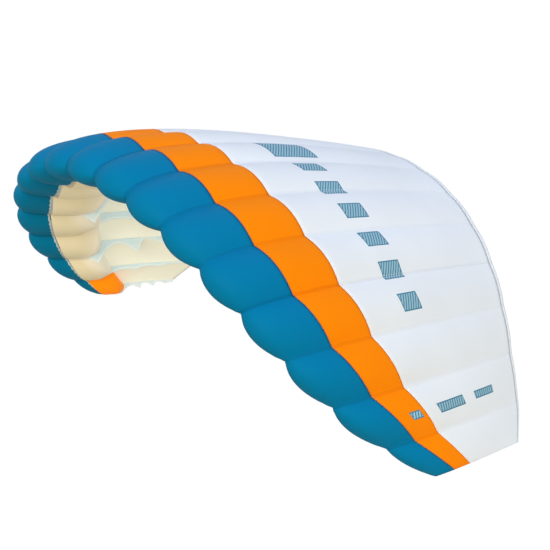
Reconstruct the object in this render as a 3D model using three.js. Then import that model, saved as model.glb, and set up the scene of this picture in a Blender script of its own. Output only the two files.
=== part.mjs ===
// Three-line traction kite: an arched single-skin foil of seventeen cells.
// Millimetres. +X runs along the span to the right tip, +Y from nose to trailing edge, +Z up.
// The origin is under the middle of the kite, level with the lowest point of its wing tips.
import * as THREE from 'three';

// Span: seventeen cells between eighteen ribs, the two tip cells narrower than the rest
const cellCount = 17;
const cellWidth = 145.9;
const tipCellWidth = 116;
const wingFoldRib = 4; // the wing sections fold at this rib, counted in from each tip

// Arch: the slope of the wing is a polynomial of arc length over archReach
const archReach = 1240;
const archSlope = [1.524, 0.263, -0.871]; // first, third and fifth power, in radians
const archStep = 2;

// Planform: chord and sweep over the same measure of arc length
const rootChord = 1224;
const chordTaper = 0.69;
const taperPower = 2.39;
const sweepSquare = 203;
const sweepFourth = 244;
const pivotFraction = 0.25; // the chord fraction that the sweep is measured at

// Section, as fractions of the chord
const crownHeight = 0.062;
const noseDrop = 0.037;
const lipFraction = 0.085;
const bellyTurnEnd = 0.305;
const inletWidth = 0.005;
const firstSeam = 0.128;
const secondSeam = 0.281;
const hemStart = 0.985;
const hemEnd = 1.0;
const tipTrim = 0.115; // the trailing edge is cut forward over the tip cells

// A belly panel leaves its rib's lower edge at closeStart and curls up to the top cloth at closeEnd
const closeStart = { loaded: 0.175, plain: 0.28 };
const closeEnd = 0.305;
const closeShare = 0.45; // the share of the panel's rows in the curl
const closeGap = 2;

// Loaded ribs reach down to the bridle and take turns with plain ones, which only shape the cloth.
// A rib's belly edge follows bellyTurn up to bellyBack, and then arches from low point to low point.
const loadedRib = {
  bellyTurn: -0.35,
  turnStart: 0.1,
  bellyBack: 0.2,
  lows: [
    { at: 0.237, height: -0.08 },
    { at: 0.487, height: -0.045 },
    { at: 0.675, height: -0.03 },
    { at: 0.85, height: -0.014 },
  ],
  highs: [
    { at: 0.41, height: 0.031 },
    { at: 0.58, height: 0.04 },
    { at: 0.765, height: 0.026 },
  ],
};
const plainRib = {
  bellyTurn: 1.2,
  turnStart: 0.16,
  bellyBack: 0.302,
  lows: [
    { at: 0.302, height: 0.007 },
    { at: 0.487, height: 0.008 },
    { at: 0.675, height: 0.003 },
    { at: 0.85, height: 0 },
  ],
  highs: [
    { at: 0.395, height: 0.023 },
    { at: 0.58, height: 0.021 },
    { at: 0.765, height: 0.013 },
  ],
};
const ribTail = { at: 0.975, height: 7 };
const tipDepth = 0.55; // a tip rib's low points reach down less
const tabHalfWidth = 4;
const eyeletRadius = 1.8;
const eyeletInset = 9;

// Swell of the cloth between two ribs, as a share of the cell's width
const swellNose = 0.17;
const tipSwell = 0.6; // the tip cells swell less
const swellTail = 0.02;
const swellFade = 1.7;
const bellySwell = 0.23;

// Cloth thickness as built, and the gap kept between neighbouring pieces
const clothThickness = 1.5;
const ribThickness = 1.2;
const gap = 0.4;
const skinLift = 0.7; // clearance between a rib's edge and the cloth over it

// Facets
const stepsPerCell = 3;
const noseSteps = 9;
const stripeSteps = 2;
const rearSteps = 5;
const bellyChordSteps = 8;
const bellyEdgeSteps = 4;
const archSteps = 4; // to each side of an arch's highest point
const eyeletSides = 6;

const blueCloth = new THREE.MeshStandardMaterial({ color: 0x0072a8, roughness: 0.55, metalness: 0 });
const orangeCloth = new THREE.MeshStandardMaterial({ color: 0xff8800, roughness: 0.55, metalness: 0 });
const whiteCloth = new THREE.MeshStandardMaterial({ color: 0xe8eef8, roughness: 0.6, metalness: 0 });
const ribCloth = new THREE.MeshStandardMaterial({ color: 0xbcd2d6, roughness: 0.65, metalness: 0 });
const bellyCloth = new THREE.MeshStandardMaterial({ color: 0xdccfa8, roughness: 0.65, metalness: 0 });
const hemTape = new THREE.MeshStandardMaterial({ color: 0xf2f4f8, roughness: 0.7, metalness: 0 });

// ---- the arch and the planform ----

function slopeAt(s) {
  const t = s / archReach;
  return archSlope[0] * t + archSlope[1] * t ** 3 + archSlope[2] * t ** 5;
}

// Position on the arch at arc length s from the middle, before the kite is set on z = 0
function archPoint(s) {
  const steps = Math.max(1, Math.ceil(Math.abs(s) / archStep));
  const ds = s / steps;
  let x = 0;
  let z = 0;
  for (let i = 0; i < steps; i += 1) {
    const slope = slopeAt((i + 0.5) * ds);
    x += Math.cos(slope) * ds;
    z -= Math.sin(slope) * ds;
  }
  return { x, z, slope: slopeAt(s) };
}

function chordAt(s) {
  return rootChord * (1 - chordTaper * Math.abs(s / archReach) ** taperPower);
}

function sweepAt(s) {
  const t = s / archReach;
  return sweepSquare * t ** 2 + sweepFourth * t ** 4;
}

// The station of each rib, from the left tip to the right one
function ribStation(index) {
  const middle = cellCount / 2;
  if (index === 0) return -(middle - 1) * cellWidth - tipCellWidth;
  if (index === cellCount) return (middle - 1) * cellWidth + tipCellWidth;
  return (index - middle) * cellWidth;
}

// Ribs are loaded and plain by turns, counted in from each tip
function ribKind(index) {
  const fromTip = Math.min(index, cellCount - index);
  return fromTip % 2 === 0 ? loadedRib : plainRib;
}

// ---- the section: w runs from the belly (negative), round the nose (0), to the trailing edge (1) ----

function foil(x) {
  return 2.969 * Math.sqrt(x) - 1.26 * x - 3.516 * x ** 2 + 2.843 * x ** 3 - 1.036 * x ** 4;
}

function bellyTurnOf(kind, x) {
  return kind.bellyTurn * THREE.MathUtils.smoothstep(x, kind.turnStart, bellyTurnEnd);
}

// loadShare is 1 over a loaded rib, 0 over a plain one, and between them in the cloth between the two
function bellyHeight(x, loadShare) {
  const turn = THREE.MathUtils.lerp(bellyTurnOf(plainRib, x), bellyTurnOf(loadedRib, x), loadShare);
  return -noseDrop * foil(x) * (1 - turn);
}

function sectionPoint(w, loadShare = 0.5) {
  const x = w * w;
  const height = w >= 0 ? crownHeight * foil(x) : bellyHeight(x, loadShare);
  return new THREE.Vector2(x - pivotFraction, height);
}

function sectionNormal(w, loadShare) {
  const delta = 0.002;
  const along = sectionPoint(w + delta, loadShare).sub(sectionPoint(w - delta, loadShare)).normalize();
  return new THREE.Vector2(-along.y, along.x);
}

function wTop(x) {
  return Math.sqrt(x);
}

function wBelly(x) {
  return -Math.sqrt(x);
}

// How much of the cloth behind the second seam is left at arc length s, after the cut over the tip cells
function rearShare(s) {
  const tip = ribStation(cellCount);
  const start = ribStation(cellCount - 1);
  const across = THREE.MathUtils.clamp((Math.abs(s) - start) / (tip - start), 0, 1);
  const tail = Math.sqrt(1 - tipTrim * across ** 1.5);
  return (tail - wTop(secondSeam)) / (1 - wTop(secondSeam));
}

function trimmed(w, s) {
  const seam = wTop(secondSeam);
  return w > seam ? seam + (w - seam) * rearShare(s) : w;
}

// A point of the kite: arc length s, section place w, and lift along the section's normal
function kitePoint(s, w, lift, loadShare) {
  const chord = chordAt(s);
  const place = sectionPoint(w, loadShare).multiplyScalar(chord);
  place.addScaledVector(sectionNormal(w, loadShare), lift);
  return fromSection(s, place);
}

function fromSection(s, place) {
  const arch = archPoint(s);
  return new THREE.Vector3(
    arch.x + place.y * Math.sin(arch.slope),
    sweepAt(s) + place.x,
    arch.z + place.y * Math.cos(arch.slope),
  );
}

// ---- cloth panels: two facing grids of points joined round their rim ----

function clothShell(spanSteps, chordSteps, layOut) {
  const points = [];
  for (const outer of [true, false]) {
    for (let j = 0; j <= chordSteps; j += 1) {
      for (let i = 0; i <= spanSteps; i += 1) points.push(layOut(i / spanSteps, j / chordSteps, outer));
    }
  }
  const row = spanSteps + 1;
  const innerStart = row * (chordSteps + 1);
  const faces = [];
  const quad = (a, b, c, d) => faces.push(a, b, c, a, c, d);
  for (let j = 0; j < chordSteps; j += 1) {
    for (let i = 0; i < spanSteps; i += 1) {
      const a = j * row + i;
      quad(a, a + 1, a + row + 1, a + row);
      const b = a + innerStart;
      faces.push(b, b + row + 1, b + 1, b, b + row, b + row + 1);
    }
  }
  for (let i = 0; i < spanSteps; i += 1) {
    const front = i;
    const back = chordSteps * row + i;
    quad(front + innerStart, front + innerStart + 1, front + 1, front);
    quad(back, back + 1, back + innerStart + 1, back + innerStart);
  }
  for (let j = 0; j < chordSteps; j += 1) {
    const left = j * row;
    const right = left + spanSteps;
    quad(left, left + row, left + row + innerStart, left + innerStart);
    quad(right + innerStart, right + row + innerStart, right + row, right);
  }
  const shell = new THREE.BufferGeometry().setFromPoints(points);
  shell.setIndex(faces);
  shell.computeVertexNormals();
  return shell;
}

function swell(w, spanFraction, cell) {
  const fade = Math.abs(w) ** swellFade;
  const nose = isTipCell(cell) ? swellNose * tipSwell : swellNose;
  const share = THREE.MathUtils.lerp(nose, swellTail, Math.min(1, fade));
  return share * (ribStation(cell + 1) - ribStation(cell)) * 4 * spanFraction * (1 - spanFraction);
}

function isTipCell(cell) {
  return cell === 0 || cell === cellCount - 1;
}

// One strip of the top cloth over the cells from firstRib to lastRib, between two section places
function stripShell(firstRib, lastRib, wStart, wEnd, chordSteps, thickness) {
  const cells = lastRib - firstRib;
  const leftEdge = ribStation(firstRib) + endInset(firstRib, 1);
  const rightEdge = ribStation(lastRib) + endInset(lastRib, -1);
  return clothShell(cells * stepsPerCell, chordSteps, (across, along, outer) => {
    const cellPlace = across * cells;
    const cell = Math.min(cells - 1, Math.floor(cellPlace + 1e-6));
    const fraction = cellPlace - cell;
    const left = ribStation(firstRib + cell);
    const right = ribStation(firstRib + cell + 1);
    const s = THREE.MathUtils.clamp(left + (right - left) * fraction, leftEdge, rightEdge);
    const w = THREE.MathUtils.lerp(wStart, wEnd, along);
    const lift = skinLift + swell(w, fraction, firstRib + cell) + (outer ? thickness : 0);
    return kitePoint(s, trimmed(w, s), lift);
  });
}

// How far a strip stops short of (or past) a rib: the middle section covers the fold ribs,
// the wing sections start clear of them, and the tips cover their own ribs
function endInset(rib, inward) {
  const half = ribThickness / 2;
  const leftFold = wingFoldRib;
  const rightFold = cellCount - wingFoldRib;
  const wingSide = (rib === leftFold && inward < 0) || (rib === rightFold && inward > 0);
  if (wingSide) return inward * (half + gap);
  return -inward * half;
}

function bellyShell(cell) {
  const inset = ribThickness / 2 + gap;
  const left = ribStation(cell) + inset;
  const right = ribStation(cell + 1) - inset;
  const loadShares = [cell, cell + 1].map((index) => (ribKind(index) === loadedRib ? 1 : 0));
  return clothShell(stepsPerCell, bellyChordSteps, (across, along, outer) => {
    const s = THREE.MathUtils.lerp(left, right, across);
    const loadShare = THREE.MathUtils.lerp(loadShares[0], loadShares[1], across);
    return bellyPoint(cell, s, across, 1 - along, loadShare, outer ? 0 : -clothThickness);
  });
}

// The panel's line in the section, as fractions of the chord: along the belly, and then curling up to the top cloth
function bellyLine(along, loadShare) {
  const turnAt = THREE.MathUtils.lerp(closeStart.plain, closeStart.loaded, loadShare);
  if (along <= 1 - closeShare) {
    const w = THREE.MathUtils.lerp(wBelly(lipFraction + inletWidth), wBelly(turnAt), along / (1 - closeShare));
    return sectionPoint(w, loadShare);
  }
  const curl = ((along - 1 + closeShare) / closeShare) * (Math.PI / 2);
  const start = sectionPoint(wBelly(turnAt), loadShare);
  const end = sectionPoint(wTop(closeEnd));
  const x = THREE.MathUtils.lerp(start.x, end.x, Math.sin(curl));
  return new THREE.Vector2(x, THREE.MathUtils.lerp(start.y, end.y, 1 - Math.cos(curl)));
}

function bellyPoint(cell, s, across, along, loadShare, lift) {
  const delta = 0.01;
  const ahead = bellyLine(Math.min(1, along + delta), loadShare);
  const direction = ahead.sub(bellyLine(Math.max(0, along - delta), loadShare)).normalize();
  const outward = new THREE.Vector2(direction.y, -direction.x);
  const closing = THREE.MathUtils.smoothstep(along, 1 - closeShare, 1);
  const width = ribStation(cell + 1) - ribStation(cell);
  const belly = bellySwell * width * 4 * across * (1 - across);
  const place = bellyLine(along, loadShare).multiplyScalar(chordAt(s));
  place.addScaledVector(outward, belly * (1 - closing) + lift);
  const topLift = swell(wTop(closeEnd), across, cell) - closeGap;
  place.addScaledVector(sectionNormal(wTop(closeEnd)), topLift * closing);
  return fromSection(s, place);
}

// ---- ribs ----

function ribShape(s, kind) {
  const chord = chordAt(s);
  const tipRib = Math.abs(s) === ribStation(cellCount);
  const loadShare = kind === loadedRib ? 1 : 0;
  const shape = new THREE.Shape();
  const places = [
    ...sectionPlaces(wTop(ribTail.at), wTop(secondSeam), rearSteps),
    ...sectionPlaces(wTop(secondSeam), wTop(firstSeam), stripeSteps).slice(1),
    ...sectionPlaces(wTop(firstSeam), wBelly(lipFraction), noseSteps).slice(1),
    ...sectionPlaces(wBelly(lipFraction), wBelly(kind.bellyBack), bellyEdgeSteps).slice(1),
  ];
  places.forEach((w, i) => {
    const point = sectionPoint(trimmed(w, s), loadShare).multiplyScalar(chord);
    if (i === 0) shape.moveTo(point.x, point.y);
    else shape.lineTo(point.x, point.y);
  });
  const lows = kind.lows.map((low) => onRib(low, s, tipRib ? tipDepth : 1));
  const highs = kind.highs.map((high) => onRib(high, s, 1));
  const half = kind === loadedRib ? tabHalfWidth : 0;
  lows.forEach((low, i) => {
    if (half > 0) shape.lineTo(low.x - half, low.y);
    if (half > 0 || i > 0) shape.lineTo(low.x + half, low.y);
    if (kind === loadedRib) shape.holes.push(eyelet(low.x, low.y + eyeletInset));
    if (i < highs.length) archCurve(shape, low.x + half, low.y, highs[i], lows[i + 1].x - half, lows[i + 1].y);
  });
  const tail = sectionPoint(trimmed(wTop(ribTail.at), s)).multiplyScalar(chord);
  shape.lineTo(tail.x, tail.y - ribTail.height);
  shape.closePath();
  return shape;
}

function onRib(place, s, depth) {
  const chord = chordAt(s);
  return { x: (trimmed(wTop(place.at), s) ** 2 - pivotFraction) * chord, y: place.height * depth * chord };
}

// The scallop between two low points, drawn as two quarter waves that meet at its highest point
function archCurve(shape, startX, startY, high, endX, endY) {
  for (let i = 1; i < archSteps * 2; i += 1) {
    const turn = (i / archSteps) * (Math.PI / 2);
    const rising = i <= archSteps;
    const share = rising ? i / archSteps : i / archSteps - 1;
    const x = rising ? THREE.MathUtils.lerp(startX, high.x, share) : THREE.MathUtils.lerp(high.x, endX, share);
    const base = rising ? startY : endY;
    shape.lineTo(x, base + (high.y - base) * Math.sin(turn));
  }
}

function eyelet(x, y) {
  const hole = new THREE.Path();
  for (let i = 0; i < eyeletSides; i += 1) {
    const turn = (-i / eyeletSides) * Math.PI * 2;
    const place = [x + eyeletRadius * Math.cos(turn), y + eyeletRadius * Math.sin(turn)];
    if (i === 0) hole.moveTo(...place);
    else hole.lineTo(...place);
  }
  hole.closePath();
  return hole;
}

function sectionPlaces(from, to, steps) {
  const places = [];
  for (let i = 0; i <= steps; i += 1) places.push(THREE.MathUtils.lerp(from, to, i / steps));
  return places;
}

function makeRib(index) {
  const s = ribStation(index);
  const arch = archPoint(s);
  const shape = ribShape(s, ribKind(index));
  const geometry = new THREE.ExtrudeGeometry(shape, { depth: ribThickness, bevelEnabled: false });
  geometry.translate(0, 0, -ribThickness / 2);
  const rib = new THREE.Mesh(geometry, ribCloth);
  const chordWise = new THREE.Vector3(0, 1, 0);
  const outward = new THREE.Vector3(Math.sin(arch.slope), 0, Math.cos(arch.slope));
  const spanWise = new THREE.Vector3(Math.cos(arch.slope), 0, -Math.sin(arch.slope));
  const basis = new THREE.Matrix4().makeBasis(chordWise, outward, spanWise);
  rib.quaternion.setFromRotationMatrix(basis);
  rib.position.set(arch.x, sweepAt(s), arch.z);
  rib.name = `rib_${String(index + 1).padStart(2, '0')}`;
  return rib;
}

// ---- assembly ----

const kite = new THREE.Group();

function addCloth(name, geometry, material) {
  const mesh = new THREE.Mesh(geometry, material);
  mesh.name = name;
  kite.add(mesh);
}

const sections = [
  { side: 'left', from: 0, to: wingFoldRib },
  { side: 'centre', from: wingFoldRib, to: cellCount - wingFoldRib },
  { side: 'right', from: cellCount - wingFoldRib, to: cellCount },
];

const seamGap = gap / 2 / rootChord; // half of the gap at a seam, as a fraction of the chord
sections.forEach(({ side, from, to }) => {
  const nose = stripShell(from, to, wBelly(lipFraction), wTop(firstSeam - seamGap), noseSteps, clothThickness);
  addCloth(`nose_skin_${side}`, nose, blueCloth);
  const stripeStart = wTop(firstSeam + seamGap);
  const stripe = stripShell(from, to, stripeStart, wTop(secondSeam - seamGap), stripeSteps, clothThickness);
  addCloth(`stripe_skin_${side}`, stripe, orangeCloth);
  const rearStart = wTop(secondSeam + seamGap);
  const rear = stripShell(from, to, rearStart, wTop(hemStart - seamGap), rearSteps, clothThickness);
  addCloth(`rear_skin_${side}`, rear, whiteCloth);
  const hem = stripShell(from, to, wTop(hemStart + seamGap), wTop(hemEnd), 1, clothThickness * 1.4);
  addCloth(`trailing_hem_${side}`, hem, hemTape);
});

for (let cell = 0; cell < cellCount; cell += 1) {
  const name = `belly_panel_${String(cell + 1).padStart(2, '0')}`;
  addCloth(name, bellyShell(cell), isTipCell(cell) ? orangeCloth : bellyCloth);
}

for (let index = 0; index <= cellCount; index += 1) kite.add(makeRib(index));

// Stand the lowest point of the tips at z = 0 and centre the kite from front to back
kite.updateMatrixWorld(true);
const extent = new THREE.Box3().setFromObject(kite, true);
kite.position.set(0, -(extent.min.y + extent.max.y) / 2, -extent.min.z);
kite.updateMatrixWorld(true);

export default kite;
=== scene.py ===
import math

import bpy
import numpy as np
from mathutils import Matrix, Vector


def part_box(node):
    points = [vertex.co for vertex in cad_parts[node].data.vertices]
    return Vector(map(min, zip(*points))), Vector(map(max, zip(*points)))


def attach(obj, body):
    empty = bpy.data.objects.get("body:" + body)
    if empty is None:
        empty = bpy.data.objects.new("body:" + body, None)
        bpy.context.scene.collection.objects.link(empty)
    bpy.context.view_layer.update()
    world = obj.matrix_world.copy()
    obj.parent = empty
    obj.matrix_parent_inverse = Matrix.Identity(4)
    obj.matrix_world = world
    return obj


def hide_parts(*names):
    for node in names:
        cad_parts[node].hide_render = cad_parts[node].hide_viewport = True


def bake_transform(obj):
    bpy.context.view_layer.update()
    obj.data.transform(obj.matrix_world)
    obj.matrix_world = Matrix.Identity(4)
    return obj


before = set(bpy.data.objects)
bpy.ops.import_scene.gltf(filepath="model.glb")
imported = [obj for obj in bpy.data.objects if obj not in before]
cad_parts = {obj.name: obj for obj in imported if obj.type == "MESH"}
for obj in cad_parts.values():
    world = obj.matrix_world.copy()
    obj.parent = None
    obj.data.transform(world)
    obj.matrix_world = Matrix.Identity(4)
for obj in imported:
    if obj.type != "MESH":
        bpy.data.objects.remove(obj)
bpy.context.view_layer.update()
print("frame loaded:", len(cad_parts), "nodes")

# the kite's form, in metres, the same rules as the CAD part
form = {
    "cells": 17,
    "cellWidth": 0.1459,
    "tipCellWidth": 0.116,
    "foldRib": 4,  # the wings fold at this rib, counted in from each tip
    "archReach": 1.24,
    "archSlope": (1.524, 0.263, -0.871),
    "rootChord": 1.224,
    "chordTaper": 0.69,
    "taperPower": 2.39,
    "sweep": (0.203, 0.244),
    "pivot": 0.25,
    "crown": 0.062,
    "noseDrop": 0.037,
    "lip": 0.085,  # the nose cloth's edge on the belly, and the seams on top, as shares of the chord
    "firstSeam": 0.128,
    "secondSeam": 0.281,
    "hemStart": 0.985,
    "hemEnd": 1.0,
    "seamGap": 0.0001,
    "tipTrim": 0.115,  # the trailing edge is cut forward over the tip cells
    "trimPower": 1.5,
}

cloth = {
    "thickness": 0.0009,
    "lift": 0.0007,  # how far the cloth lies above a rib's edge
    "swellNose": 0.17,
    "swellTail": 0.02,
    "swellFade": 1.7,
    "tipSwell": 0.6,  # the tip cells swell less
    "stepsPerCell": 16,
    "foldReach": 0.13,  # how far the fold line reaches into the wing, a little less than a cell
    "seamFlat": 0.0015,
    "seamPull": 0.0012,  # how far the thread draws a colour seam in
    "pullReach": 0.006,
    "puckerDepth": 0.0009,
    "puckerPitch": 0.017,
    "puckerFrom": 0.012,  # from the rib
    "puckerWidth": 0.009,
    "puckerFade": 0.7,
}

# two kinds of rib take turns: loaded ones reach down to the bridle, plain ones only shape the cloth
turnEnd = 0.305
ribKinds = {
    "loaded": {
        "bellyTurn": -0.35,
        "turnStart": 0.1,
        "bellyBack": 0.2,
        "lows": ((0.237, -0.08), (0.487, -0.045), (0.675, -0.03), (0.85, -0.014)),
        "highs": ((0.41, 0.031), (0.58, 0.04), (0.765, 0.026)),
    },
    "plain": {
        "bellyTurn": 1.2,
        "turnStart": 0.16,
        "bellyBack": 0.302,
        "lows": ((0.302, 0.007), (0.487, 0.008), (0.675, 0.003), (0.85, 0.0)),
        "highs": ((0.395, 0.023), (0.58, 0.021), (0.765, 0.013)),
    },
}

lastRib = form["cells"]
leftFold, rightFold = form["foldRib"], lastRib - form["foldRib"]
sections = {"left": (0, leftFold), "centre": (leftFold, rightFold), "right": (rightFold, lastRib)}


def loadedRib(index):
    fromTip = index if index <= lastRib // 2 else lastRib - index
    return fromTip % 2 == 0


def ribStation(index):
    middle = form["cells"] / 2
    if index == 0:
        return -(middle - 1) * form["cellWidth"] - form["tipCellWidth"]
    if index == lastRib:
        return (middle - 1) * form["cellWidth"] + form["tipCellWidth"]
    return (index - middle) * form["cellWidth"]


# the arch is added up once, then read off
archS = np.linspace(-1.3, 1.3, 2601)


def slopeAt(s):
    t = np.asarray(s, float) / form["archReach"]
    first, third, fifth = form["archSlope"]
    return first * t + third * t**3 + fifth * t**5


def addUp(values):
    steps = (values[1:] + values[:-1]) / 2 * np.diff(archS)
    total = np.concatenate(([0.0], np.cumsum(steps)))
    return total - np.interp(0.0, archS, total)


archX = addUp(np.cos(slopeAt(archS)))
archZ = addUp(-np.sin(slopeAt(archS)))


def chordAt(s):
    t = np.abs(np.asarray(s, float) / form["archReach"])
    return form["rootChord"] * (1 - form["chordTaper"] * t ** form["taperPower"])


def sweepAt(s):
    t = np.asarray(s, float) / form["archReach"]
    return form["sweep"][0] * t**2 + form["sweep"][1] * t**4


def foil(x):
    return 2.969 * np.sqrt(x) - 1.26 * x - 3.516 * x**2 + 2.843 * x**3 - 1.036 * x**4


def smooth(value):
    value = np.clip(value, 0, 1)
    return value * value * (3 - 2 * value)


def bellyHeight(x, loaded):
    turn = 0
    for kind, share in (("loaded", loaded), ("plain", 1 - loaded)):
        rule = ribKinds[kind]
        along = (x - rule["turnStart"]) / (turnEnd - rule["turnStart"])
        turn = turn + share * rule["bellyTurn"] * smooth(along)
    return -form["noseDrop"] * foil(x) * (1 - turn)


# w runs from the belly, negative, round the nose at 0, to the trailing edge at 1
def sectionPoint(w, loaded=0.5):
    w = np.asarray(w, float)
    x = w * w
    height = np.where(w >= 0, form["crown"] * foil(x), bellyHeight(x, loaded))
    return x - form["pivot"], height


def sectionNormal(w, loaded=0.5):
    step = 0.002
    ahead, behind = sectionPoint(w + step, loaded), sectionPoint(w - step, loaded)
    dx, dy = ahead[0] - behind[0], ahead[1] - behind[1]
    length = np.hypot(dx, dy)
    return -dy / length, dx / length


def archPlace(s, chordWise, outward):
    slope = slopeAt(s)
    x = np.interp(s, archS, archX) + outward * np.sin(slope)
    z = np.interp(s, archS, archZ) + outward * np.cos(slope)
    y = sweepAt(s) + chordWise
    return np.stack(np.broadcast_arrays(x, y, z), -1)


def kitePoint(s, w, lift, loaded=0.5):
    px, py = sectionPoint(w, loaded)
    nx, ny = sectionNormal(w, loaded)
    chord = chordAt(s)
    return archPlace(s, px * chord + nx * lift, py * chord + ny * lift)


# how much of the cloth behind the second seam is left, after the cut over the tip cells
def trimmed(w, s):
    tip, start = ribStation(lastRib), ribStation(lastRib - 1)
    across = np.clip((np.abs(s) - start) / (tip - start), 0, 1)
    seam = math.sqrt(form["secondSeam"])
    share = (np.sqrt(1 - form["tipTrim"] * across ** form["trimPower"]) - seam) / (1 - seam)
    return np.where(w > seam, seam + (w - seam) * share, w)


def wTop(x):
    return math.sqrt(x)


def wBelly(x):
    return -math.sqrt(x)


# where the CAD put the kite: the top of a middle rib gives the shift in y and z
probeRib, ribEnd = 8, 0.975
probeTop = kitePoint(ribStation(probeRib), np.linspace(0, wTop(ribEnd), 4000), 0.0)
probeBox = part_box(f"rib_{probeRib + 1:02d}")
kiteShift = np.array((0.0, probeBox[0].y - probeTop[:, 1].min(), probeBox[1].z - probeTop[:, 2].max()))
print("kite shift:", [round(float(v), 4) for v in kiteShift])


cameraView = {
    "azimuth": 0.8267,
    "elevation": 0.2918,
    "roll": 0.0881,
    "distance": 2.5055,
    "lens": 61.33,
    "aim": (0.49724, 0.0, -0.20435),
}


def placeCamera():
    az, el, roll = (cameraView[k] for k in ("azimuth", "elevation", "roll"))
    back = Vector((math.sin(az) * math.cos(el), -math.cos(az) * math.cos(el), math.sin(el)))
    right = Vector((math.cos(az), math.sin(az), 0))
    up = back.cross(right)
    across = right * math.cos(roll) + up * math.sin(roll)
    upright = up * math.cos(roll) - right * math.sin(roll)
    data = bpy.data.cameras.new("camera")
    data.lens, data.sensor_width = cameraView["lens"], 36
    data.clip_start, data.clip_end = 0.05, 1000
    camera = bpy.data.objects.new("camera", data)
    bpy.context.scene.collection.objects.link(camera)
    turn = Matrix((across, upright, back)).transposed().to_4x4()
    place = Vector(cameraView["aim"]) + Vector(kiteShift) + back * cameraView["distance"]
    camera.matrix_world = Matrix.Translation(place) @ turn
    bpy.context.scene.camera = camera


placeCamera()
print("camera placed")


clothTints = {
    "blue": (0.0, 0.212, 0.43),
    "orange": (1.0, 0.25, 0.0),
    "white": (0.92, 0.955, 0.98),
    # the inside of the white skin is white cloth: this cream tint is painted warm light from below
    "liningPaintedWarmLight": (0.80, 0.78, 0.66),
    "rib": (0.55, 0.66, 0.70),
    "tape": (0.66, 0.74, 0.76),
    "patch": (0.60, 0.69, 0.72),
    "binding": (0.62, 0.72, 0.76),
    "belly": (0.72, 0.62, 0.42),
    "bellyRear": (0.86, 0.80, 0.72),
    "hem": (0.92, 0.955, 0.98),
}

weave = {
    "ripstop": 0.0055,  # spacing of the thicker threads
    "ripstopLine": 0.11,
    "thread": 0.0009,
    "bump": 0.25,
    "bumpDistance": 0.0003,
    "tone": 0.05,
    "patchReach": 0.05,  # the doubled cloth round a bridle point
    "seamAllowance": 0.005,
}


class Nodes:
    def __init__(self, tree):
        self.tree = tree

    def add(self, kind, values=None, **settings):
        node = self.tree.nodes.new(kind)
        for key, value in settings.items():
            setattr(node, key, value)
        for key, value in (values or {}).items():
            if isinstance(value, bpy.types.NodeSocket):
                self.tree.links.new(value, node.inputs[key])
            else:
                node.inputs[key].default_value = value
        return node

    def math(self, operation, *values):
        node = self.add("ShaderNodeMath", dict(enumerate(values)), operation=operation)
        return node.outputs[0]

    def mix(self, factor, first, second, blend="MIX"):
        values = {0: factor, 6: first, 7: second}
        return self.add("ShaderNodeMix", values, data_type="RGBA", blend_type=blend).outputs[2]

    def range(self, value, low, high, start=0.0, end=1.0):
        values = {"Value": value, "From Min": low, "From Max": high, "To Min": start, "To Max": end}
        return self.add("ShaderNodeMapRange", values).outputs[0]


def rgba(colour):
    return (*colour, 1.0)


def newMaterial(name):
    material = bpy.data.materials.new(name)
    material.use_nodes = True
    material.node_tree.nodes.clear()
    return material, Nodes(material.node_tree)


def clothHeight(n, u, v):
    # ripstop squares over a fine plain weave, as a height and a line mask
    lines = []
    for place in (u, v):
        across = n.math("PINGPONG", n.math("DIVIDE", place, weave["ripstop"]), 0.5)
        lines.append(n.range(across, weave["ripstopLine"], weave["ripstopLine"] * 0.4))
    line = n.math("MAXIMUM", *lines)
    turns = 2 * math.pi / weave["thread"]
    threads = [n.math("SINE", n.math("MULTIPLY", place, turns)) for place in (u, v)]
    fine = n.math("MULTIPLY", threads[0], threads[1])
    return n.math("ADD", line, n.math("MULTIPLY", fine, 0.35)), line


# the glow stands for daylight that comes through the cloth
def clothShader(n, base, rough, height, specular, glow):
    values = {"Strength": weave["bump"], "Distance": weave["bumpDistance"], "Height": height}
    bump = n.add("ShaderNodeBump", values)
    values = {"Base Color": base, "Roughness": rough, "Normal": bump.outputs[0]}
    values.update({"Specular IOR Level": specular, "Emission Color": base, "Emission Strength": glow})
    shader = n.add("ShaderNodeBsdfPrincipled", values)
    n.add("ShaderNodeOutputMaterial", {0: shader.outputs[0]})


# rib cloth has a taped lower edge and doubled patches at the bridle points
def ribMaterial(name, colour, tape, patch, glow):
    material, n = newMaterial(name)
    uv = n.add("ShaderNodeUVMap", uv_map="cut")
    split = n.add("ShaderNodeSeparateXYZ", {0: uv.outputs[0]})
    height, line = clothHeight(n, split.outputs[0], split.outputs[1])
    row = n.add("ShaderNodeAttribute", attribute_name="edgeRow").outputs["Fac"]
    tab = n.add("ShaderNodeAttribute", attribute_name="tabDistance").outputs["Fac"]
    reach = weave["patchReach"]
    base = n.mix(n.math("MULTIPLY", line, 0.3), rgba(colour), rgba(tuple(c * 1.08 for c in colour)))
    base = n.mix(n.range(tab, reach + 0.0005, reach - 0.0005), base, rgba(patch))
    patchSeam = n.math("COMPARE", tab, reach - 0.003, 0.0006)
    base = n.mix(patchSeam, base, rgba(tuple(c * 0.8 for c in patch)))
    base = n.mix(n.range(row, 2.05, 1.95), base, rgba(tape))  # the tape is the first two rows of faces
    clothShader(n, base, 0.6, height, specular=0.1, glow=glow)
    return material


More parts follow.
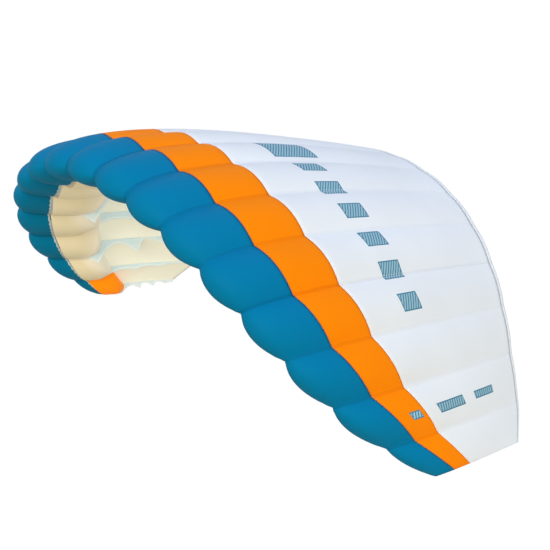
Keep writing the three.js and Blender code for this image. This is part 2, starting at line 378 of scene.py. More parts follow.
def clothMaterial(
    name, colour, rear=None, printed=None, roughness=0.55, specular=0.05, seamShade=0.93, glow=0.0
):
    material, n = newMaterial(name)
    uv = n.add("ShaderNodeUVMap", uv_map="cut")
    split = n.add("ShaderNodeSeparateXYZ", {0: uv.outputs[0]})
    height, line = clothHeight(n, split.outputs[0], split.outputs[1])
    place = n.add("ShaderNodeTexCoord").outputs["Object"]
    clouds = n.add("ShaderNodeTexNoise", {"Vector": place, "Scale": 4.0, "Detail": 3.0}).outputs[0]
    base = rgba(colour)
    if rear:
        along = n.add("ShaderNodeAttribute", attribute_name="chordPlace").outputs["Fac"]
        base = n.mix(n.range(along, 0.35, 0.75), rgba(colour), rgba(rear))
    light = tuple(min(1.0, c * 1.07) for c in colour)
    base = n.mix(n.math("MULTIPLY", line, 0.35), base, rgba(light))
    tone = n.range(clouds, 0.3, 0.7, 1 - weave["tone"], 1.0)
    rib = n.add("ShaderNodeAttribute", attribute_name="ribDistance").outputs["Fac"]
    seam = n.range(rib, weave["seamAllowance"] - 0.0005, weave["seamAllowance"] + 0.0005, seamShade, 1.0)
    shade = n.math("MULTIPLY", tone, seam)
    grey = n.add("ShaderNodeCombineColor", {0: shade, 1: shade, 2: shade}).outputs[0]
    base = n.mix(1.0, base, grey, "MULTIPLY")
    if printed:
        base = printBlocks(n, base, prints[printed])
    rough = n.range(clouds, 0.3, 0.7, roughness - 0.05, roughness + 0.06)
    clothShader(n, base, rough, height, specular, glow)
    return material


# plain hatched blocks printed on the cloth: middle and half size, across in cells and along in chords
prints = {
    "white": {
        "row": {"first": 10.3, "pitch": 0.65, "count": 6, "half": 0.17, "along": (0.49, 0.042)},
        "blocks": ((9.5, 0.36, 0.5, 0.075), (15.56, 0.1, 0.45, 0.09), (15.56, 0.08, 0.7, 0.075)),
    },
    "orange": {"row": None, "blocks": ((15.54, 0.08, 0.225, 0.03),)},
    "fill": (0.34, 0.56, 0.66),
    "outline": (0.05, 0.22, 0.33),
    "outlineWidth": 0.0032,
    "hatch": 0.011,
}


def printBlocks(n, base, layout):
    uv = n.add("ShaderNodeUVMap", uv_map="print")
    split = n.add("ShaderNodeSeparateXYZ", {0: uv.outputs[0]})
    across, along = split.outputs[0], split.outputs[1]

    # how far outside a block a point lies, in metres, less than zero inside it
    def outside(awayAcross, halfAcross, middleAlong, halfAlong):
        overAcross = n.math("MULTIPLY", n.math("SUBTRACT", awayAcross, halfAcross), form["cellWidth"])
        awayAlong = n.math("ABSOLUTE", n.math("SUBTRACT", along, middleAlong))
        overAlong = n.math("MULTIPLY", n.math("SUBTRACT", awayAlong, halfAlong), 0.9)
        return n.math("MAXIMUM", overAcross, overAlong)

    nearest = None
    for middle, half, middleAlong, halfAlong in layout["blocks"]:
        away = n.math("ABSOLUTE", n.math("SUBTRACT", across, middle))
        found = outside(away, half, middleAlong, halfAlong)
        nearest = found if nearest is None else n.math("MINIMUM", nearest, found)
    row = layout["row"]
    if row:
        length = row["pitch"] * (row["count"] - 1) / 2
        fromFirst = n.math("SUBTRACT", across, row["first"])
        away = n.math("PINGPONG", fromFirst, row["pitch"] / 2)
        found = outside(away, row["half"], *row["along"])
        beyond = n.math("ABSOLUTE", n.math("SUBTRACT", fromFirst, length))
        beyond = n.math("SUBTRACT", beyond, length + row["half"] * 1.5)
        beyond = n.math("MULTIPLY", beyond, form["cellWidth"])
        nearest = n.math("MINIMUM", nearest, n.math("MAXIMUM", found, beyond))
    inside = n.range(nearest, 0.0002, -0.0002)
    edge = n.range(nearest, -prints["outlineWidth"] - 0.0003, -prints["outlineWidth"] + 0.0003)
    cut = n.add("ShaderNodeSeparateXYZ", {0: n.add("ShaderNodeUVMap", uv_map="cut").outputs[0]})
    slant = n.math("DIVIDE", n.math("ADD", cut.outputs[0], cut.outputs[1]), prints["hatch"])
    hatch = n.range(n.math("PINGPONG", slant, 0.5), 0.16, 0.22)
    fill = n.mix(hatch, rgba(prints["outline"]), rgba(prints["fill"]))
    ink = n.mix(edge, fill, rgba(prints["outline"]))
    return n.mix(inside, base, ink)


def threadMaterial(name, colour):
    material, n = newMaterial(name)
    place = n.add("ShaderNodeTexCoord").outputs["Object"]
    noise = n.add("ShaderNodeTexNoise", {"Vector": place, "Scale": 900.0}).outputs[0]
    base = n.mix(noise, rgba(tuple(c * 0.85 for c in colour)), rgba(colour))
    bump = n.add("ShaderNodeBump", {"Strength": 0.3, "Distance": 0.0002, "Height": noise})
    values = {"Base Color": base, "Roughness": 0.6, "Normal": bump.outputs[0], "Specular IOR Level": 0.1}
    shader = n.add("ShaderNodeBsdfPrincipled", values)
    n.add("ShaderNodeOutputMaterial", {0: shader.outputs[0]})
    return material


materials = {
    "blue": clothMaterial("blueCloth", clothTints["blue"], specular=0.02),
    "orange": clothMaterial("orangeCloth", clothTints["orange"], printed="orange", specular=0.02, glow=0.12),
    "white": clothMaterial("whiteCloth", clothTints["white"], printed="white", seamShade=0.99),
    # the white skin's inside: its cream tint is painted warm light from below
    "liningPaintedWarmLight": clothMaterial("liningPaintedWarmLight", clothTints["liningPaintedWarmLight"], seamShade=0.95, glow=0.4),
    "rib": ribMaterial("ribCloth", clothTints["rib"], clothTints["tape"], clothTints["patch"], glow=0.3),
    "belly": clothMaterial("bellyCloth", clothTints["belly"], rear=clothTints["bellyRear"], glow=0.3),
    "bellyTip": clothMaterial("bellyTipCloth", clothTints["orange"], glow=0.4),
    "hem": clothMaterial("hemTape", clothTints["hem"], roughness=0.6),
    "binding": clothMaterial("inletBinding", clothTints["binding"], roughness=0.6, seamShade=1.0),
    "blueThread": threadMaterial("blueThread", (0.0, 0.16, 0.31)),
    "orangeThread": threadMaterial("orangeThread", (0.86, 0.19, 0.0)),
    "whiteThread": threadMaterial("whiteThread", (0.82, 0.86, 0.93)),
    "bellyThread": threadMaterial("bellyThread", (0.55, 0.46, 0.30)),
}
print("materials made:", len(materials))


# maps are flat places and floats are single values, one for each point
def makeMesh(name, points, faces, used, maps=None, floats=None, faceMaterials=None, rimFaces=0):
    mesh = bpy.data.meshes.new(name)
    mesh.from_pydata((points + kiteShift).tolist(), [], faces)
    corner = np.zeros(len(mesh.loops), np.int32)
    mesh.loops.foreach_get("vertex_index", corner)
    for key, places in (maps or {}).items():
        layer = mesh.uv_layers.new(name=key)
        layer.data.foreach_set("uv", places[corner].astype(np.float32).ravel())
    for key, values in (floats or {}).items():
        attribute = mesh.attributes.new(key, "FLOAT", "POINT")
        attribute.data.foreach_set("value", values.astype(np.float32).ravel())
    for material in used:
        mesh.materials.append(material)
    if faceMaterials is not None:
        mesh.polygons.foreach_set("material_index", np.asarray(faceMaterials, np.int32))
    smoothFaces = np.arange(len(faces)) < len(faces) - rimFaces  # the rims come last
    mesh.polygons.foreach_set("use_smooth", smoothFaces)
    mesh.update()
    piece = bpy.data.objects.new(name, mesh)
    bpy.context.scene.collection.objects.link(piece)
    return piece


# outer and inner are grids of points, rows along the chord and columns along the span
def shellPiece(name, outer, inner, maps, floats, used):
    rows, columns = outer.shape[:2]
    count = rows * columns
    points = np.concatenate((outer.reshape(-1, 3), inner.reshape(-1, 3)))
    index = np.arange(count).reshape(rows, columns)
    a, b = index[:-1, :-1].ravel(), index[:-1, 1:].ravel()
    c, d = index[1:, 1:].ravel(), index[1:, :-1].ravel()
    front = np.stack((a, b, c, d), -1)
    back = np.stack((a, d, c, b), -1) + count
    rims = []
    for edge in (index[0], index[-1][::-1], index[::-1, 0], index[:, -1]):
        p, q = edge[:-1], edge[1:]
        rims.append(np.stack((p, p + count, q + count, q), -1))
    rim = np.concatenate(rims)
    faces = np.concatenate((front, back, rim)).tolist()
    inside = len(used) - 1
    chosen = [0] * len(front) + [inside] * len(back) + [0] * len(rim)
    twice = {key: np.concatenate((value.ravel(), value.ravel())) for key, value in floats.items()}
    places = {key: np.concatenate((value.reshape(-1, 2),) * 2) for key, value in maps.items()}
    return makeMesh(name, points, faces, used, places, twice, chosen, len(rim))


# stations along the span: where, how far across its cell, that cell's width, how far from the
# nearest rib, and the place counted in cells
def spanStations(firstRib, lastStripRib, steps, seamFlat=0.0):
    places, fractions, widths, distances, cells = [], [], [], [], []
    for cell in range(firstRib, lastStripRib):
        left, right = ribStation(cell), ribStation(cell + 1)
        for i in range(steps + (cell == lastStripRib - 1)):
            fraction = i / steps
            places.append(left + (right - left) * fraction)
            fractions.append(fraction)
            widths.append(right - left)
            distances.append(min(fraction, 1 - fraction) * (right - left))
            cells.append(cell + fraction)
    if seamFlat:  # the cloth lies flat for a little way beside its first and last rib
        for values in (places, fractions, widths, distances, cells):
            near = seamFlat if values is places else 0.0
            values.insert(1, values[0] + near)
            values.insert(len(values) - 1, values[-1] - near)
    return [np.array(values) for values in (places, fractions, widths, distances, cells)]


def swell(w, fraction, width):
    narrow = np.abs(width - form["tipCellWidth"]) < 1e-6
    nose = np.where(narrow, cloth["swellNose"] * cloth["tipSwell"], cloth["swellNose"])
    share = nose + (cloth["swellTail"] - nose) * np.minimum(1, np.abs(w) ** cloth["swellFade"])
    return share * width * 4 * fraction * (1 - fraction)


# the thread draws the cloth into small waves next to a rib seam, most of all round the nose
def puckers(w, s, distance, chord):
    along = w * np.abs(w) * chord
    uneven = 9 * np.sin(40 * s)
    wave = np.sin(2 * math.pi * along / cloth["puckerPitch"] + uneven)
    near = np.exp(-(((distance - cloth["puckerFrom"]) / cloth["puckerWidth"]) ** 2))
    return -cloth["puckerDepth"] * near * wave * (1 - cloth["puckerFade"] * np.abs(w))


def stripGrid(firstRib, lastStripRib, wStart, wEnd, rows, pulled):
    stations = spanStations(firstRib, lastStripRib, cloth["stepsPerCell"], cloth["seamFlat"])
    s, fraction, width, distance, cells = stations
    w = np.linspace(wStart, wEnd, rows + 1)[:, None]
    chord = chordAt(s)
    pull = 0
    for on, edge in zip(pulled, (wStart, wEnd)):
        pull = pull + on * np.exp(-np.abs(w - edge) * chord / cloth["pullReach"])
    wave = puckers(w, s, distance, chord) - cloth["seamPull"] * pull
    lift = cloth["lift"] + swell(w, fraction, width) + wave * (distance > 0)
    lift = np.maximum(lift, cloth["lift"])
    kept = trimmed(w, s)
    outer = kitePoint(s, kept, lift + cloth["thickness"])
    inner = kitePoint(s, kept, lift)
    x = kept * np.abs(kept)
    cut = np.stack(np.broadcast_arrays(s, x * chord), -1)
    printPlace = np.stack(np.broadcast_arrays(cells, x), -1)
    floats = {"ribDistance": np.broadcast_to(distance, outer.shape[:2])}
    return outer, inner, {"cut": cut, "print": printPlace}, floats


# a line along the span from the fold rib, a little way out into the wing; hold() works it out
# for a piece beside the fold, but then only bakes that piece where it lies
def foldLine(side):
    outward = -1 if side == "left" else 1
    s = outward * ribStation(lastRib - form["foldRib"])
    slope = float(slopeAt(s))
    start = Vector(archPlace(s, 0.0, 0.0) + kiteShift)
    across = Vector((math.cos(slope), 0.0, -math.sin(slope)))
    return start, start + across * outward * cloth["foldReach"]


def hold(piece, side, acrossFold):
    if side == "centre":
        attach(piece, "centre_section")
    elif acrossFold:
        start, end = foldLine(side)
        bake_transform(piece)
    else:
        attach(piece, f"{side}_wing")


lip, firstSeam, secondSeam = -form["lip"], form["firstSeam"], form["secondSeam"]
hemSeam, gap = form["hemStart"], form["seamGap"]
strips = {
    "nose_skin": {
        "from": lip,
        "to": firstSeam - gap,
        "rows": 44,
        "pulled": (0, 1),  # whether a colour seam draws in the first and the last edge
        "cloths": ("blue", "blue"),  # outside and inside
    },
    "stripe_skin": {
        "from": firstSeam + gap,
        "to": secondSeam - gap,
        "rows": 20,
        "pulled": (1, 1),
        "cloths": ("orange", "orange"),
    },
    "rear_skin": {
        "from": secondSeam + gap,
        "to": hemSeam - gap / 2,
        "rows": 56,
        "pulled": (1, 0),
        "cloths": ("white", "liningPaintedWarmLight"),
    },
    "trailing_hem": {
        "from": hemSeam + gap / 2,
        "to": form["hemEnd"],
        "rows": 4,
        "pulled": (0, 0),
        "cloths": ("hem", "hem"),
    },
}


def makeStrips():
    for side, (first, last) in sections.items():
        for kind, rule in strips.items():
            node = f"{kind}_{side}"
            edges = [math.copysign(math.sqrt(abs(rule[key])), rule[key]) for key in ("from", "to")]
            outer, inner, maps, floats = stripGrid(first, last, *edges, rule["rows"], rule["pulled"])
            used = [materials[key] for key in rule["cloths"]]
            piece = shellPiece(f"{node}_cloth", outer, inner, maps, floats, used)
            hold(piece, side, True)
            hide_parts(node)
        print("top cloth made:", side)


makeStrips()


ribCut = {
    "thickness": 0.0008,
    "columns": 220,
    "rows": 7,
    "tape": 0.009,
    "tapeThickness": 0.0018,
    "tapeShare": 0.45,  # the most of the rib's depth that the tape takes
    "leastDepth": 0.004,
    "tail": (ribEnd, -0.007),
    "tipDepth": 0.55,  # a tip rib's low points reach down less
}


# the lower edge of a rib, as a height over the chord fraction
def ribBottom(x, kind, depth):
    rule = ribKinds[kind]
    loaded = 1.0 if kind == "loaded" else 0.0
    lows, highs = [(at, height * depth) for at, height in rule["lows"]], list(rule["highs"])
    height = np.where(x <= rule["bellyBack"], bellyHeight(x, loaded), 0.0)
    if kind == "loaded":
        start = float(bellyHeight(np.array(rule["bellyBack"]), loaded))
        fall = (x - rule["bellyBack"]) / (lows[0][0] - rule["bellyBack"])
        falling = (x > rule["bellyBack"]) & (x <= lows[0][0])
        height = np.where(falling, start + (lows[0][1] - start) * fall, height)
    for low, high, nextLow in zip(lows, highs, lows[1:]):
        rise = np.sin(np.clip((x - low[0]) / (high[0] - low[0]), 0, 1) * math.pi / 2)
        drop = np.sin(np.clip((nextLow[0] - x) / (nextLow[0] - high[0]), 0, 1) * math.pi / 2)
        up, down = low[1] + (high[1] - low[1]) * rise, nextLow[1] + (high[1] - nextLow[1]) * drop
        height = np.where((x > low[0]) & (x <= high[0]), up, height)
        height = np.where((x > high[0]) & (x <= nextLow[0]), down, height)
    tailAt, tailDrop = ribCut["tail"]
    tailHeight = form["crown"] * float(foil(np.array(tailAt))) + tailDrop
    toTail = (x - lows[-1][0]) / (tailAt - lows[-1][0])
    return np.where(x > lows[-1][0], lows[-1][1] + (tailHeight - lows[-1][1]) * toTail, height)


# a rib as a grid: rows from its lower edge up to the top cloth, columns along the chord
def ribGrid(index):
    kind = "loaded" if loadedRib(index) else "plain"
    s = ribStation(index)
    chord = float(chordAt(s))
    marks = [rule[0] for rule in ribKinds[kind]["lows"]] + [ribKinds[kind]["bellyBack"]]
    w = np.linspace(0.01, wTop(ribCut["tail"][0]), ribCut["columns"] + 1)
    for mark in marks:  # a column of points falls on each bridle point
        w[np.argmin(np.abs(w - math.sqrt(mark)))] = math.sqrt(mark)
    x = w * w
    top = form["crown"] * foil(trimmed(w, s) ** 2)
    depth = ribCut["tipDepth"] if index in (0, lastRib) else 1.0
    bottom = np.minimum(ribBottom(x, kind, depth), top - ribCut["leastDepth"])
    band = np.minimum(ribCut["tape"] / chord, (top - bottom) * ribCut["tapeShare"])
    rows = [bottom, bottom + band * 0.5, bottom + band]
    x = trimmed(w, s) ** 2
    steps = ribCut["rows"] - 2
    rows += [bottom + band + (top - bottom - band) * i / steps for i in range(1, steps + 1)]
    height = np.stack(rows) * chord
    chordWise = np.broadcast_to((x - form["pivot"]) * chord, height.shape)
    return s, chordWise, height


# the tips of a loaded rib's bridle points, in the rib's own plane
def tabPlaces(index):
    if not loadedRib(index):
        return []
    s = ribStation(index)
    chord = float(chordAt(s))
    depth = ribCut["tipDepth"] if index in (0, lastRib) else 1.0
    places = []
    for at, low in ribKinds["loaded"]["lows"]:
        x = float(trimmed(math.sqrt(at), s)) ** 2
        places.append(((x - form["pivot"]) * chord, low * depth * chord))
    return places


def makeRib(index):
    s, chordWise, height = ribGrid(index)
    slope = float(slopeAt(s))
    across = np.array((math.cos(slope), 0.0, -math.sin(slope)))
    middle = archPlace(s, chordWise, height)
    half = np.full(height.shape, ribCut["thickness"] / 2)
    half[:2] = ribCut["tapeThickness"] / 2
    outer, inner = middle + across * half[..., None], middle - across * half[..., None]
    near = np.full(height.shape, 1.0)
    for tabX, tabY in tabPlaces(index):
        near = np.minimum(near, np.hypot(chordWise - tabX, height - tabY))
    edgeRow = np.broadcast_to(np.arange(len(height))[:, None] * 1.0, height.shape)
    maps = {"cut": np.stack((chordWise, height), -1)}
    floats = {"tabDistance": near, "edgeRow": edgeRow}
    node = f"rib_{index + 1:02d}"
    piece = shellPiece(f"{node}_sheet", outer, inner, maps, floats, [materials["rib"]])
    side = "left" if index < leftFold else "right" if index > rightFold else "centre"
    hold(piece, side, False)
    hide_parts(node)


for ribIndex in range(lastRib + 1):
    makeRib(ribIndex)
print("ribs made:", lastRib + 1)


belly = {
    "swell": 0.23,
    "inlet": 0.004,
    "rows": 48,
    "steps": 24,
    "inset": 0.001,
    "closeStart": {"loaded": 0.175, "plain": 0.28},
    "closeEnd": turnEnd,
    "closeShare": 0.45,
    "closeGap": 0.001,
    "directionReach": 0.07,  # wide, so that the bulge doesn't fold over where the line turns up
}


# the panel's line in the section: along the belly, and then curling up to the top cloth
def bellyLine(along, loaded):
    plainAt, loadedAt = belly["closeStart"]["plain"], belly["closeStart"]["loaded"]
    turnAt = -np.sqrt(plainAt + (loadedAt - plainAt) * loaded)
    closeShare = belly["closeShare"]
    front = wBelly(form["lip"] + belly["inlet"])
    w = front + (turnAt - front) * np.minimum(1, along / (1 - closeShare))
    x, height = sectionPoint(w, loaded)
    curl = np.clip((along - 1 + closeShare) / closeShare, 0, 1) * math.pi / 2
    endX, endHeight = sectionPoint(wTop(belly["closeEnd"]))
    curled = along > 1 - closeShare
    x = np.where(curled, x + (endX - x) * np.sin(curl), x)
    height = np.where(curled, height + (endHeight - height) * (1 - np.cos(curl)), height)
    return np.stack(np.broadcast_arrays(x, height), -1)


def bellyPoint(cell, s, across, along, loaded, lift):
    reach = belly["directionReach"]
    ahead = bellyLine(np.minimum(1, along + reach), loaded)
    behind = bellyLine(np.maximum(0, along - reach), loaded)
    direction = (ahead - behind) / np.linalg.norm(ahead - behind, axis=-1, keepdims=True)
    outward = np.stack((direction[..., 1], -direction[..., 0]), -1)
    closing = smooth((along - 1 + belly["closeShare"]) / belly["closeShare"])
    width = ribStation(cell + 1) - ribStation(cell)
    swollen = belly["swell"] * width * 4 * across * (1 - across)
    place = bellyLine(along, loaded) * chordAt(s)[..., None]
    place = place + outward * (swollen * (1 - closing) + lift)[..., None]
    topLift = swell(wTop(belly["closeEnd"]), across, width) - belly["closeGap"]
    topNormal = np.array([float(v) for v in sectionNormal(wTop(belly["closeEnd"]))])
    place = place + topNormal * (topLift * closing)[..., None]
    return archPlace(s, place[..., 0], place[..., 1])


def makeBellyPanel(cell):
    left, right = ribStation(cell), ribStation(cell + 1)
    across = np.linspace(0, 1, belly["steps"] + 1)
    along = np.linspace(1, 0, belly["rows"] + 1)[:, None]
    across, along = np.broadcast_arrays(across, along)
    s = left + belly["inset"] + (right - left - 2 * belly["inset"]) * across
    loads = [1.0 if loadedRib(i) else 0.0 for i in (cell, cell + 1)]
    loaded = loads[0] + (loads[1] - loads[0]) * across
    outer = bellyPoint(cell, s, across, along, loaded, 0.0)
    inner = bellyPoint(cell, s, across, along, loaded, -cloth["thickness"])
    line = bellyLine(along, loaded) * chordAt(s)[..., None]
    cut = np.stack((s, -line[..., 0] + line[..., 1]), -1)
    distance = np.minimum(across, 1 - across) * (right - left)
    floats = {"ribDistance": distance, "chordPlace": along}
    tipCell = cell in (0, form["cells"] - 1)
    node = f"belly_panel_{cell + 1:02d}"
    used = [materials["bellyTip" if tipCell else "belly"]]
    piece = shellPiece(f"{node}_cloth", outer, inner, {"cut": cut}, floats, used)
    side = "left" if cell < leftFold else "centre" if cell < rightFold else "right"
    hold(piece, side, cell in (leftFold - 1, rightFold))
    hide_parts(node)


for cellIndex in range(form["cells"]):
    makeBellyPanel(cellIndex)
print("belly panels made:", form["cells"])


binding = {
    "rows": 3,
    "reach": 0.005,
    "tooth": 0.004,
    "teeth": 7,  # in each cell
    "past": 0.001,  # past the lip, as a share of the chord
    "rise": 0.0006,
    "thickness": 0.0005,
}


# a pale jagged ribbon sewn on the lip of the nose, along the air inlets
def makeBinding(side):
    first, last = sections[side]
    s, fraction, width = spanStations(first, last, cloth["stepsPerCell"] * 2)[:3]
    along = np.linspace(0, 1, binding["rows"] + 1)[:, None]
    tooth = binding["tooth"] * np.abs(((fraction * binding["teeth"]) % 1) * 2 - 1)
    reach = along * (binding["reach"] + tooth) / chordAt(s)
    w = -np.sqrt(form["lip"] + binding["past"] - reach)
    lift = cloth["lift"] + cloth["thickness"] + swell(w, fraction, width) + binding["rise"]
    outer, inner = kitePoint(s, w, lift), kitePoint(s, w, lift - binding["thickness"])
    cut = np.stack(np.broadcast_arrays(s, -w * w * chordAt(s)), -1)
    floats = {"ribDistance": np.full(outer.shape[:2], 1.0)}
    used = [materials["binding"]]
    piece = shellPiece(f"inlet_binding_{side}", outer, inner, {"cut": cut}, floats, used)
    hold(piece, side, True)


eyelet = {"radius": 0.0026, "wire": 0.0008, "depth": 1.6, "inset": 0.009, "turns": 14, "sides": 6}


def makeEyelets(side):
    ribs = {"left": (0, leftFold - 1), "centre": (leftFold, rightFold), "right": (rightFold + 1, lastRib)}
    first, last = ribs[side]
    turns, sides = eyelet["turns"], eyelet["sides"]
    points, faces = [], []
    for index in range(first, last + 1):
        s = ribStation(index)
        slope = float(slopeAt(s))
        across = np.array((math.cos(slope), 0.0, -math.sin(slope)))
        for tabX, tabY in tabPlaces(index):
            start = len(points)
            for i in range(turns):
                turn = i / turns * 2 * math.pi
                for j in range(sides):
                    roll = j / sides * 2 * math.pi
                    reach = eyelet["radius"] + eyelet["wire"] * math.cos(roll)
                    x = tabX + reach * math.cos(turn)
                    y = tabY + eyelet["inset"] + reach * math.sin(turn)
                    away = eyelet["wire"] * eyelet["depth"] * math.sin(roll)
                    points.append(archPlace(s, x, y) + across * away)
                    here, beside = start + i * sides, start + (i + 1) % turns * sides
                    after = (j + 1) % sides
                    faces.append((here + j, beside + j, beside + after, here + after))
    piece = makeMesh(f"eyelets_{side}", np.array(points), faces, [materials["whiteThread"]])
    hold(piece, side, False)


for sideName in sections:
    makeBinding(sideName)
    makeEyelets(sideName)
print("inlet bindings and eyelets made")

stitch = {
    "pitch": 0.0048,
    "length": 0.0034,
    "radius": 0.00035,
    "sides": 5,
    "fromRib": 0.003,
    "fromSeam": 0.003,
    "fromHem": 0.007,  # from the trailing edge, as a share of the chord
    "rearEnd": 0.992,
    "ribPoints": 140,  # along a whole chord
    "spanSteps": 18,  # in each cell
    "spanInset": 0.001,
    "bellyAcross": (0.03, 0.97),
    "bellyAlong": (0.02, 0.95, 60),
    "rise": 0.0002,
    "zigzagPitch": 0.006,
    "zigzagWidth": 0.0016,
    "zigzagRadius": 0.0003,
}


def newTree(name, sizes):
    tree = bpy.data.node_groups.new(name, "GeometryNodeTree")
    tree.interface.new_socket("Geometry", in_out="OUTPUT", socket_type="NodeSocketGeometry")
    tree.interface.new_socket("Geometry", in_out="INPUT", socket_type="NodeSocketGeometry")
    for key in sizes:
        tree.interface.new_socket(key, in_out="INPUT", socket_type="NodeSocketFloat")
    tree.interface.new_socket("Thread", in_out="INPUT", socket_type="NodeSocketMaterial")
    n = Nodes(tree)
    return tree, n, n.add("NodeGroupInput").outputs


def finishTree(n, made, inputs):
    real = n.add("GeometryNodeRealizeInstances", {0: made.outputs[0]})
    values = {"Geometry": real.outputs[0], "Material": inputs["Thread"]}
    threaded = n.add("GeometryNodeSetMaterial", values)
    n.add("NodeGroupOutput", {0: threaded.outputs[0]})


# short thread lengths laid end to end along every line of the mesh
def stitchTree():
    tree, n, inputs = newTree("stitchRow", ("Pitch", "Length", "Radius"))
    curve = n.add("GeometryNodeMeshToCurve", {"Mesh": inputs["Geometry"]})
    steps = {"Curve": curve.outputs[0], "Length": inputs["Pitch"]}
    even = n.add("GeometryNodeResampleCurve", steps, mode="LENGTH")
    sizes = {"Vertices": stitch["sides"], "Radius": inputs["Radius"], "Depth": inputs["Length"]}
    bar = n.add("GeometryNodeMeshCylinder", sizes)
    tangent = n.add("GeometryNodeInputTangent")
    turned = n.add("FunctionNodeAlignRotationToVector", {"Vector": tangent.outputs[0]}, axis="Z")
    links = {"Points": even.outputs[0], "Instance": bar.outputs[0], "Rotation": turned.outputs[0]}
    placed = n.add("GeometryNodeInstanceOnPoints", links)
    finishTree(n, placed, inputs)
    return tree


# one unbroken thread along every line of the mesh
def threadTree():
    tree, n, inputs = newTree("threadLine", ("Radius",))
    curve = n.add("GeometryNodeMeshToCurve", {"Mesh": inputs["Geometry"]})
    sizes = {"Resolution": stitch["sides"], "Radius": inputs["Radius"]}
    ring = n.add("GeometryNodeCurvePrimitiveCircle", sizes, mode="RADIUS")
    links = {"Curve": curve.outputs[0], "Profile Curve": ring.outputs[0], "Fill Caps": True}
    swept = n.add("GeometryNodeCurveToMesh", links)
    finishTree(n, swept, inputs)
    return tree


def sewn(name, lines, tree, values):
    points, edges = [], []
    for line in lines:
        start = len(points)
        points += (line + kiteShift).tolist()
        edges += [(start + i, start + i + 1) for i in range(len(line) - 1)]
    guide = bpy.data.meshes.new(name + "_guide")
    guide.from_pydata(points, edges, [])
    holder = bpy.data.objects.new(name + "_guide", guide)
    bpy.context.scene.collection.objects.link(holder)
    modifier = holder.modifiers.new("sew", "NODES")
    modifier.node_group = tree
    for item in tree.interface.items_tree:
        if item.in_out == "INPUT" and item.name in values:
            modifier[item.identifier] = values[item.name]
    graph = bpy.context.evaluated_depsgraph_get()
    mesh = bpy.data.meshes.new_from_object(holder.evaluated_get(graph))
    bpy.data.objects.remove(holder)
    bpy.data.meshes.remove(guide)
    mesh.name = name
    piece = bpy.data.objects.new(name, mesh)
    bpy.context.scene.collection.objects.link(piece)
    return piece


def surfaceLine(s, w, cell, rise):
    left, right = ribStation(cell), ribStation(cell + 1)
    width = right - left
    lift = cloth["lift"] + cloth["thickness"] + rise + swell(w, (s - left) / width, width)
    return kitePoint(s, trimmed(w, s), lift)


def ribSeamLines(side, wStart, wEnd):
    first, last = sections[side]
    lines = []
    for cell in range(first, last):
        near = stitch["fromRib"]
        for place in (ribStation(cell) + near, ribStation(cell + 1) - near):
            w = np.linspace(wStart, wEnd, max(30, int(abs(wEnd - wStart) * stitch["ribPoints"])))
            lines.append(surfaceLine(np.full(len(w), place), w, cell, 0.0))
    return lines


def spanLines(side, x, shift=0.0, zigzag=False):
    first, last = sections[side]
    lines = []
    for cell in range(first, last):
        left, right = ribStation(cell), ribStation(cell + 1)
        steps = int((right - left) / (stitch["zigzagPitch"] / 2)) if zigzag else stitch["spanSteps"]
        s = np.linspace(left + stitch["spanInset"], right - stitch["spanInset"], steps + 1)
        away = shift + (stitch["zigzagWidth"] * (-1.0) ** np.arange(steps + 1) if zigzag else 0.0)
        w = np.sqrt(x + away / chordAt(s))
        lines.append(surfaceLine(s, w, cell, -stitch["rise"] if zigzag else 0.0))
    return lines


def bellyLines(side):
    first, last = sections[side]
    lines = []
    for cell in range(first, last):
        left, right = ribStation(cell), ribStation(cell + 1)
        loads = [1.0 if loadedRib(i) else 0.0 for i in (cell, cell + 1)]
        for share in stitch["bellyAcross"]:
            along = np.linspace(*stitch["bellyAlong"])
            across = np.full(len(along), share)
            s = left + (right - left) * across
            loaded = loads[0] + (loads[1] - loads[0]) * across
            lines.append(bellyPoint(cell, s, across, along, loaded, stitch["rise"]))
    return lines


def makeStitches():
    row, thread = stitchTree(), threadTree()
    lipW, firstW, secondW = wBelly(form["lip"]), wTop(firstSeam), wTop(secondSeam)
    near = stitch["fromSeam"]
    for side in sections:
        groups = {
            "blue": ribSeamLines(side, lipW, firstW) + spanLines(side, firstSeam, -near),
            "orange": ribSeamLines(side, firstW, secondW)
            + spanLines(side, firstSeam, near)
            + spanLines(side, secondSeam, -near),
            "white": ribSeamLines(side, secondW, stitch["rearEnd"])
            + spanLines(side, secondSeam, near)
            + spanLines(side, form["hemEnd"] - stitch["fromHem"]),
            "belly": bellyLines(side),
        }
        for colour, lines in groups.items():
            values = {
                "Pitch": stitch["pitch"],
                "Length": stitch["length"],
                "Radius": stitch["radius"],
                "Thread": materials[colour + "Thread"],
            }
            piece = sewn(f"stitches_{colour}_{side}", lines, row, values)
            hold(piece, side, True)
        values = {"Radius": stitch["zigzagRadius"], "Thread": materials["blueThread"]}
        lines = spanLines(side, firstSeam, zigzag=True)
        zigzag = sewn(f"zigzag_thread_{side}", lines, thread, values)
        hold(zigzag, side, True)
        print("stitches made:", side)


makeStitches()


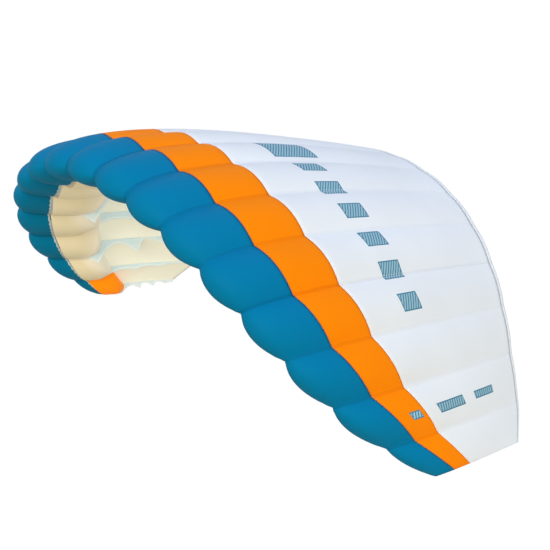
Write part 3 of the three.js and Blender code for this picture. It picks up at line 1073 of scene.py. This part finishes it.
studio = {
    "floorDrop": 2.6,  # the kite is in the air, as when it flies
    "floorSize": 60.0,
    "roomHeight": 40.0,
    "floorColour": (0.02, 0.02, 0.02),
    "floorGlow": 1.0,
    "worldColour": (0.36, 0.335, 0.235),
    "worldStrength": 1.0,
    "skyFrom": (0.1, 0.1, 1.0),
    "skyPower": 1.2,
    "skyColour": (0.26, 0.51, 1.15),
    "skyWidth": 110,  # degrees
    "keyFrom": (0.62, -0.70, 0.34),
    "keyPower": 2.06,
    "keyColour": (1.0, 0.95, 0.86),
    "keyWidth": 34,
}


def softSun(name, source, power, colour, width):
    data = bpy.data.lights.new(name, "SUN")
    data.energy, data.color, data.angle = power, colour, math.radians(width)
    light = bpy.data.objects.new(name, data)
    bpy.context.scene.collection.objects.link(light)
    light.rotation_mode = "QUATERNION"
    light.rotation_quaternion = Vector(source).to_track_quat("Z", "Y")


def makeStudio():
    half = studio["floorSize"] / 2
    mesh = bpy.data.meshes.new("floor")
    low, high = -studio["floorDrop"], studio["roomHeight"]
    around = ((-half, -half), (half, -half), (half, half), (-half, half))
    corners = [(x, y, z) for z in (low, high) for x, y in around]
    walls = [(i + 4, (i + 1) % 4 + 4, (i + 1) % 4, i) for i in range(4)]
    mesh.from_pydata(corners, [], [(0, 1, 2, 3), (7, 6, 5, 4), *walls])
    floor = bpy.data.objects.new("floor", mesh)
    floor.visible_diffuse = False  # the room is only a pale ground: the world and the lamps light the kite
    floor.visible_shadow = False
    bpy.context.scene.collection.objects.link(floor)
    material, n = newMaterial("floorPaint")
    values = {"Base Color": rgba(studio["floorColour"]), "Roughness": 0.9, "Specular IOR Level": 0.0}
    values.update({"Emission Color": rgba((1.0, 1.0, 1.0)), "Emission Strength": studio["floorGlow"]})
    shader = n.add("ShaderNodeBsdfPrincipled", values)
    n.add("ShaderNodeOutputMaterial", {0: shader.outputs[0]})
    mesh.materials.append(material)
    world = bpy.data.worlds.new("studio")
    world.use_nodes = True
    background = world.node_tree.nodes["Background"]
    background.inputs[0].default_value = rgba(studio["worldColour"])
    background.inputs[1].default_value = studio["worldStrength"]
    bpy.context.scene.world = world
    softSun("skyLight", studio["skyFrom"], studio["skyPower"], studio["skyColour"], studio["skyWidth"])
    softSun("keyLight", studio["keyFrom"], studio["keyPower"], studio["keyColour"], studio["keyWidth"])
    bpy.context.scene.view_settings.view_transform = "Standard"


makeStudio()
print("floor and light made")
